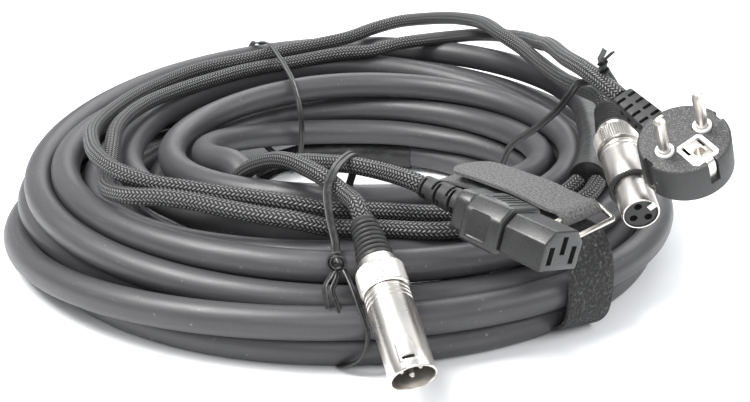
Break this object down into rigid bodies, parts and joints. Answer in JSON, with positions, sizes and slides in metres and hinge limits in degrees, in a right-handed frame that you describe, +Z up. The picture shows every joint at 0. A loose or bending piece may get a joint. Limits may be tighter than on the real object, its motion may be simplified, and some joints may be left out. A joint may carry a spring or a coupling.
{
  "type": "xlr cable coil",
  "caption": "Coiled stage cable, power and audio in one jacket; braided tails end in audio, mains and appliance connectors; held by ties and a hook-and-loop strap.",
  "frame": {"origin": "centre of the whole assembly's base, on the surface it lies on", "axes": "+Z up, +Y towards the back of the coil, -Y towards the side where the audio male plug and the appliance coupler hang over the edge"},
  "size_m": [0.3488, 0.3953, 0.1151],
  "materials": {
    "rubber_jacket": "matt dark grey cable jacket with pale scuffs",
    "heat_shrink": "satin black heat-shrink",
    "braided_sleeve": "black braided monofilament sleeve with pale highlights",
    "nickel": "satin nickel plate",
    "moulded_plastic": "moulded dark grey, fine grain",
    "boot_rubber": "matt black rubber",
    "white_plastic": "white moulded",
    "strap_fabric": "black hook-and-loop webbing with a fuzzy pile",
    "tie_vinyl": "black vinyl twist tie"
  },
  "bodies": {
    "cable": {"cable_coil": "rubber_jacket", "cable_lead_top": "rubber_jacket", "cable_lead_low": "rubber_jacket", "breakout_top": "heat_shrink", "breakout_low": "heat_shrink", "xlr_male_shell": "nickel", "xlr_male_insert": "moulded_plastic", "xlr_male_pin_1": "nickel", "xlr_male_pin_2": "nickel", "xlr_male_pin_3": "nickel", "xlr_male_collar": "nickel", "xlr_male_boot": "boot_rubber", "xlr_female_shell": "nickel", "xlr_female_seal": "boot_rubber", "xlr_female_insert": "moulded_plastic", "xlr_female_contact_1": "nickel", "xlr_female_contact_2": "nickel", "xlr_female_contact_3": "nickel", "xlr_female_latch_spring": "nickel", "xlr_female_collar": "nickel", "xlr_female_boot": "boot_rubber", "coupler_nose": "moulded_plastic", "coupler_contact_1": "nickel", "coupler_contact_2": "nickel", "coupler_contact_3": "nickel", "coupler_body": "moulded_plastic", "coupler_collar": "moulded_plastic", "coupler_strain_relief": "moulded_plastic", "mains_plug_body": "moulded_plastic", "mains_plug_bush_1": "white_plastic", "mains_plug_bush_2": "white_plastic", "mains_plug_pin_1": "nickel", "mains_plug_pin_2": "nickel", "mains_plug_earth_socket": "nickel", "mains_plug_earth_clip_1": "nickel", "mains_plug_earth_clip_2": "nickel", "mains_plug_strain_relief": "moulded_plastic", "tail_xlr_female": "braided_sleeve", "tail_mains": "braided_sleeve", "tail_xlr_male": "braided_sleeve", "tail_coupler": "braided_sleeve", "tie_left": "tie_vinyl", "tie_front": "tie_vinyl", "tie_right": "tie_vinyl", "strap": "strap_fabric", "strap_ring": "nickel"},
    "latch": {"xlr_female_latch": "nickel"}
  },
  "joints": [
    {"name": "latch_press", "type": "slide", "parent": "cable", "child": "latch", "axis": [-0.726, 0.212, -0.6542], "range_m": [0, 0.0012], "stiffness_N_per_m": 600}
  ]
}
